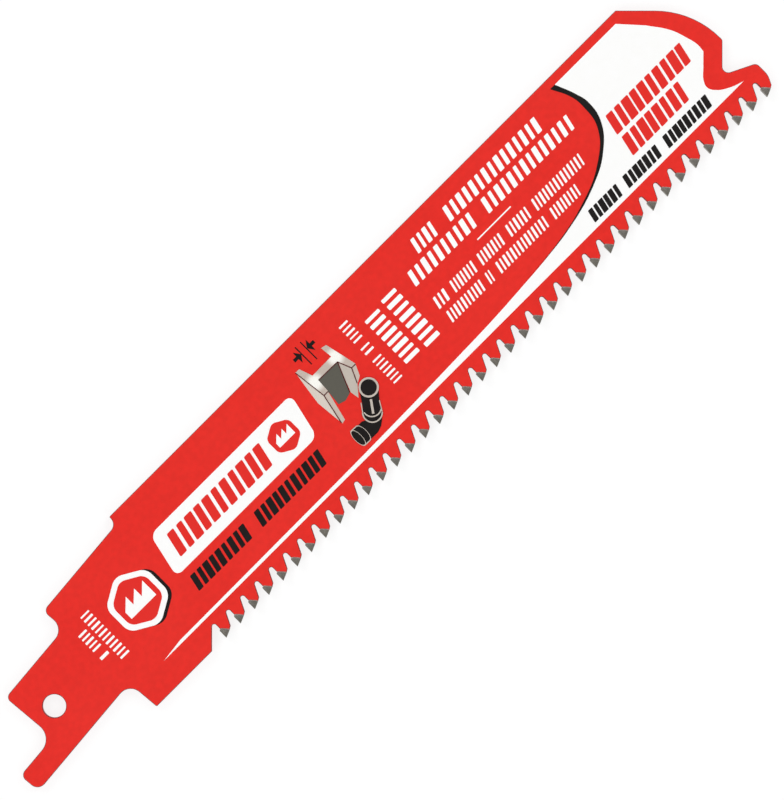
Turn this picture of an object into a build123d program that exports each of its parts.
from build123d import *

import os
from math import cos, radians, sin, tan

# A reciprocating-saw blade: one flat steel body with a hooked shank, and a carbide tip welded onto
# the front of every tooth. Millimetres and degrees.
#
# The frame of the part: the origin is the middle of the pin hole at half the steel's thickness,
# +X runs along the tang towards the nose, +Y towards the back edge and +Z out of the upper face.
# The body leans towards its teeth by CANT, so it has two directions of its own: "along" it, from
# the tang to the nose, and "across" it, from the teeth to the back edge, both from the pin hole.

# ---- whole blade ----
BLADE_LENGTH = 152.4  # tail to nose, along the body
BLADE_DEPTH = 25.06  # tooth tips to back edge
STEEL_THICKNESS = 1.27
CANT = 5.0  # lean of the body against the tang
TEETH_BELOW_PIN = 10.92  # across, from the pin hole to the line of the tooth tips
EDGE_BREAK = 0.1  # chamfer that takes the burr off the body's outline and off the pin hole

# ---- shank, measured along and across the tang ----
TANG_WIDTH = 12.7
PIN_HOLE_DIAMETER = 3.5
PIN_TO_SHOULDER = 9.73  # the two shoulders that stop against the blade clamp
PIN_TO_STEP = 3.73  # rear face of the full-width tang
PIN_TO_TAIL_END = 11.21
TAIL_WIDTH = 3.55  # the narrow tail that runs on along the tang's lower edge
STEP_FILLET = 2.5
STEP_CORNER_RADIUS = 0.9
TAIL_LOWER_RADIUS = 1.4
TAIL_UPPER_RADIUS = 1.0
NOTCH_FILLET = 2.0  # between the tang and each shoulder
SHOULDER_CORNER_RADIUS = 1.0

# ---- body, measured along and across it ----
NECK_LENGTH = 25.66  # pin hole to the step where the back edge starts
NECK_STEP = 1.5  # from the neck's edge, which is parallel to the tang, up to the back edge
NECK_FILLET = 1.3
BACK_CORNER_RADIUS = 0.2
HEEL_ABOVE_TIPS = 0.09  # the plain edge between the lower shoulder and the teeth
HEEL_CORNER_RADIUS = 0.25
HEEL_RAMP = 45.0  # slope that lifts the heel into the first gullet

# ---- nose ----
NOSE_CHAMFER = 8.2  # the sloping end of the back edge
NOSE_RADIUS = 13.8
NOSE_BEHIND_LAST_TOOTH = 1.13  # the nose's upright, short of the last tooth's back
UPRIGHT_ABOVE_TIPS = 10.73  # lower end of that upright
UPRIGHT_CORNER_RADIUS = 0.5
HOOK_SLOPE = 45.0  # underside of the nose, running back into the throat of the hook
THROAT_ABOVE_TIPS = 7.04
THROAT_RADIUS = 0.9
HOOK_BACK_SLOPE = 26.2  # upper side of the last tooth, falling from the throat
HOOK_CORNER_RADIUS = 0.9
BLADE_END_RADIUS = 3.0  # where the end of the blade turns down the last tooth's back

# ---- teeth ----
TOOTH_PITCH = 2.997
PIN_TO_FIRST_TOOTH = 25.3  # nearly: the teeth are counted back from the nose
LAST_TOOTH_LENGTH = 2.36  # its cutting edge to its back, which is the end of the blade
GULLET_DEPTH = 2.80
GULLET_RADIUS = 0.37
TOOTH_BACK_ANGLE = 26.2  # lean of a tooth's back against the upright
TOOTH_RELIEF = 26.1  # cutting edge to the back corner
STEEL_LAND = 0.58  # the steel's own underside, behind the carbide
STEEL_LAND_ANGLE = 31.5
TOOTH_CORNER_RADIUS = 0.15

# ---- carbide tips ----
TIP_HEIGHT = 1.56  # cutting edge to the top of the weld
TIP_OVERHANG = 0.24  # how far the rake face stands ahead of the steel
TIP_CROWN = 0.06  # rise of the tip's top from its rake face to the weld
TIP_CROWN_RADIUS = 0.22
TIP_SIDE_STAND = 0.165  # the cutting edge stands this far out of each face of the steel
TIP_SIDE_RELIEF = 3.0  # each side leans in, from the cutting edge upwards

# ---- worked out ----
HALF_TANG = TANG_WIDTH / 2
BACK_EDGE = BLADE_DEPTH - TEETH_BELOW_PIN
TIP_LINE = -TEETH_BELOW_PIN
# The tail's upper rounded corner is the rearmost point of the blade, measured along the body.
TAIL_ARC_ALONG = (TAIL_UPPER_RADIUS - PIN_TO_TAIL_END) * cos(radians(CANT)) + (
    HALF_TANG - TAIL_WIDTH + TAIL_UPPER_RADIUS
) * sin(radians(CANT))
NOSE_END = BLADE_LENGTH + TAIL_ARC_ALONG - TAIL_UPPER_RADIUS
LAST_TOOTH = NOSE_END - LAST_TOOTH_LENGTH
TOOTH_COUNT = round((LAST_TOOTH - PIN_TO_FIRST_TOOTH) / TOOTH_PITCH) + 1
FIRST_TOOTH = LAST_TOOTH - (TOOTH_COUNT - 1) * TOOTH_PITCH

UP = 90


def heading(angle):
    return Vector(cos(radians(angle)), sin(radians(angle)))


def meet(point, angle, other, other_angle):
    """Where the line through a point at one angle crosses the line through another point."""
    way, other_way = heading(angle), heading(other_angle)
    gap = other - point
    steps = (gap.X * other_way.Y - gap.Y * other_way.X) / (way.X * other_way.Y - way.Y * other_way.X)
    return point + way * steps


def body_corners(corners):
    """Corners given along and across the body, turned into the tang's frame."""
    return [(point.rotate(Axis.Z, -CANT), radius) for point, radius in corners]


def rounded_face(corners):
    """A flat face with each corner rounded to its own radius, or less where its sides are short."""
    count = len(corners)
    points = [point for point, _ in corners]
    sides = [(points[(i + 1) % count] - points[i]).length for i in range(count)]
    halves, reaches = [], []
    for i, (point, radius) in enumerate(corners):
        half = radians((points[i - 1] - point).get_angle(points[(i + 1) % count] - point)) / 2
        halves.append(half)
        reaches.append(radius / tan(half))
    fits = [min(1, sides[i] / max(reaches[i] + reaches[(i + 1) % count], 1e-9)) for i in range(count)]
    lines, ends = [], []
    for i, point in enumerate(points):
        back = (points[i - 1] - point).normalized()
        on = (points[(i + 1) % count] - point).normalized()
        reach = reaches[i] * min(fits[i - 1], fits[i])
        ends.append((point + back * reach, point + on * reach))
        if reach > 0:
            middle = point + (back + on).normalized() * (reach / cos(halves[i]) - reach * tan(halves[i]))
            lines.append(ThreePointArc(ends[i][0], middle, ends[i][1]))
    for i in range(count):
        if (ends[i][0] - ends[i - 1][1]).length > 1e-6:
            lines.append(Line(ends[i - 1][1], ends[i][0]))
    return make_face(lines)


def tooth_points(cutting_edge):
    """The named points of one tooth, along and across the body, from the place of its cutting edge."""
    edge = Vector(cutting_edge, TIP_LINE)
    steel_front = cutting_edge + TIP_OVERHANG
    # The gullet ahead of the tooth is an arc between its own front and the back of the next one.
    arc_middle = Vector(steel_front - GULLET_RADIUS, TIP_LINE + GULLET_DEPTH - GULLET_RADIUS)
    on_back = arc_middle + heading(180 - TOOTH_BACK_ANGLE) * GULLET_RADIUS
    gullet = meet(on_back, UP - TOOTH_BACK_ANGLE, Vector(steel_front, 0), UP)
    next_back = on_back + Vector(TOOTH_PITCH, 0)
    back = meet(edge, TOOTH_RELIEF, next_back, UP - TOOTH_BACK_ANGLE)
    return {
        "edge": edge,
        "crown": Vector(cutting_edge, TIP_LINE + TIP_HEIGHT - TIP_CROWN),
        "weld_top": Vector(steel_front, TIP_LINE + TIP_HEIGHT),
        "weld_foot": back - heading(STEEL_LAND_ANGLE) * STEEL_LAND,
        "back": back,
        "gullet": gullet,
    }


def shank_corners():
    """From the heel's lower shoulder round the tail and the tang to the foot of the upper shoulder."""
    return [
        (Vector(PIN_TO_SHOULDER, -HALF_TANG), NOTCH_FILLET),
        (Vector(-PIN_TO_TAIL_END, -HALF_TANG), TAIL_LOWER_RADIUS),
        (Vector(-PIN_TO_TAIL_END, TAIL_WIDTH - HALF_TANG), TAIL_UPPER_RADIUS),
        (Vector(-PIN_TO_STEP, TAIL_WIDTH - HALF_TANG), STEP_FILLET),
        (Vector(-PIN_TO_STEP, HALF_TANG), STEP_CORNER_RADIUS),
        (Vector(PIN_TO_SHOULDER, HALF_TANG), NOTCH_FILLET),
    ]


def back_corners():
    """The upper shoulder, the neck, its step up to the back edge, and that edge to the nose's upright."""
    step_foot = Vector(NECK_LENGTH, BACK_EDGE - NECK_STEP)
    shoulder = Vector(PIN_TO_SHOULDER, 0).rotate(Axis.Z, CANT)
    nose_front = NOSE_END - NOSE_BEHIND_LAST_TOOTH
    return body_corners(
        [
            (meet(step_foot, CANT, shoulder, UP + CANT), SHOULDER_CORNER_RADIUS),
            (step_foot, NECK_FILLET),
            (Vector(NECK_LENGTH, BACK_EDGE), BACK_CORNER_RADIUS),
            (Vector(nose_front - NOSE_CHAMFER, BACK_EDGE), 0),
            (Vector(nose_front, BACK_EDGE - NOSE_CHAMFER), NOSE_RADIUS),
        ]
    )


def hook_corners():
    """The underside of the nose, its throat, and the broad last tooth down to its back face."""
    upright_end = Vector(NOSE_END - NOSE_BEHIND_LAST_TOOTH, TIP_LINE + UPRIGHT_ABOVE_TIPS)
    throat = meet(upright_end, HOOK_SLOPE, Vector(0, TIP_LINE + THROAT_ABOVE_TIPS), 0)
    blade_end = Vector(NOSE_END, 0)
    last_back = tooth_points(LAST_TOOTH)["back"]
    return body_corners(
        [
            (upright_end, UPRIGHT_CORNER_RADIUS),
            (throat, THROAT_RADIUS),
            (meet(throat, -HOOK_BACK_SLOPE, blade_end, UP), HOOK_CORNER_RADIUS),
            (meet(last_back, UP - TOOTH_BACK_ANGLE, blade_end, UP), BLADE_END_RADIUS),
        ]
    )


def tooth_corners():
    """Every tooth from the nose back to the heel: its back corner, the seat of its tip, its gullet."""
    corners = []
    for n in reversed(range(TOOTH_COUNT)):
        points = tooth_points(FIRST_TOOTH + n * TOOTH_PITCH)
        corners.append((points["back"], TOOTH_CORNER_RADIUS))
        corners.append((points["weld_foot"], 0))
        corners.append((points["weld_top"], 0))
        if n:
            corners.append((points["gullet"], GULLET_RADIUS))
    return body_corners(corners)


def heel_corners():
    """The first gullet's ramp, and the plain heel edge back to the lower shoulder."""
    first = tooth_points(FIRST_TOOTH)
    heel_line = TIP_LINE + HEEL_ABOVE_TIPS
    ramp_top = Vector(first["weld_top"].X, TIP_LINE + GULLET_DEPTH - GULLET_RADIUS)
    # The ramp's corner lies above the gullet's arc by what the arc cuts off it.
    ramp_top += Vector(0, GULLET_RADIUS / tan(radians(UP - HEEL_RAMP) / 2))
    shoulder = Vector(PIN_TO_SHOULDER, 0).rotate(Axis.Z, CANT)
    return body_corners(
        [
            (ramp_top, GULLET_RADIUS),
            (meet(ramp_top, HEEL_RAMP, Vector(0, heel_line), 0), 0),
            (meet(shoulder, UP + CANT, Vector(0, heel_line), 0), HEEL_CORNER_RADIUS),
        ]
    )


def make_body():
    """The steel: one plate cut to the outline, with its burrs taken off and the pin hole through it."""
    corners = back_corners() + hook_corners() + tooth_corners() + heel_corners() + shank_corners()
    outline = rounded_face(corners) - Circle(PIN_HOLE_DIAMETER / 2)
    plate = extrude(outline, STEEL_THICKNESS / 2, both=True)
    faces = plate.faces().filter_by(Axis.Z)
    return chamfer(faces.edges(), EDGE_BREAK)


def make_tip():
    """The first tooth's carbide tip, widest along its cutting edge."""
    points = tooth_points(FIRST_TOOTH)
    profile = rounded_face(
        [
            (points["edge"], 0),
            (points["crown"], TIP_CROWN_RADIUS),
            (points["weld_top"], 0),
            (points["weld_foot"], 0),
        ]
    )
    half_width = STEEL_THICKNESS / 2 + TIP_SIDE_STAND
    blank = extrude(profile, half_width, both=True)
    # A long wedge with its sides leaning in keeps the blank's full width along the cutting edge only.
    narrow = half_width - TIP_HEIGHT * tan(radians(TIP_SIDE_RELIEF))
    across = [(TIP_LINE, half_width), (TIP_LINE + TIP_HEIGHT, narrow)]
    rim = [Vector(0, a, h) for a, h in across] + [Vector(0, a, -h) for a, h in reversed(across)]
    wedge_face = make_face(Polyline(*rim, close=True))
    wedge = extrude(wedge_face, FIRST_TOOTH + TOOTH_PITCH, dir=(1, 0, 0))
    return blank & wedge


def write(shape, name):
    export_step(shape, f"parts/{name}.step")
    print(name, len(shape.solids()), "solid", round(shape.volume, 3), "mm3")


os.makedirs("parts", exist_ok=True)
write(make_body(), "blade_body")
first_tip = make_tip()
for n in range(TOOTH_COUNT):
    placed = Rot(0, 0, -CANT) * Pos(n * TOOTH_PITCH, 0, 0) * first_tip
    write(placed, f"carbide_tip_{n + 1:02d}")
print("teeth", TOOTH_COUNT, "first", round(FIRST_TOOTH, 3), "last", round(LAST_TOOTH, 3))
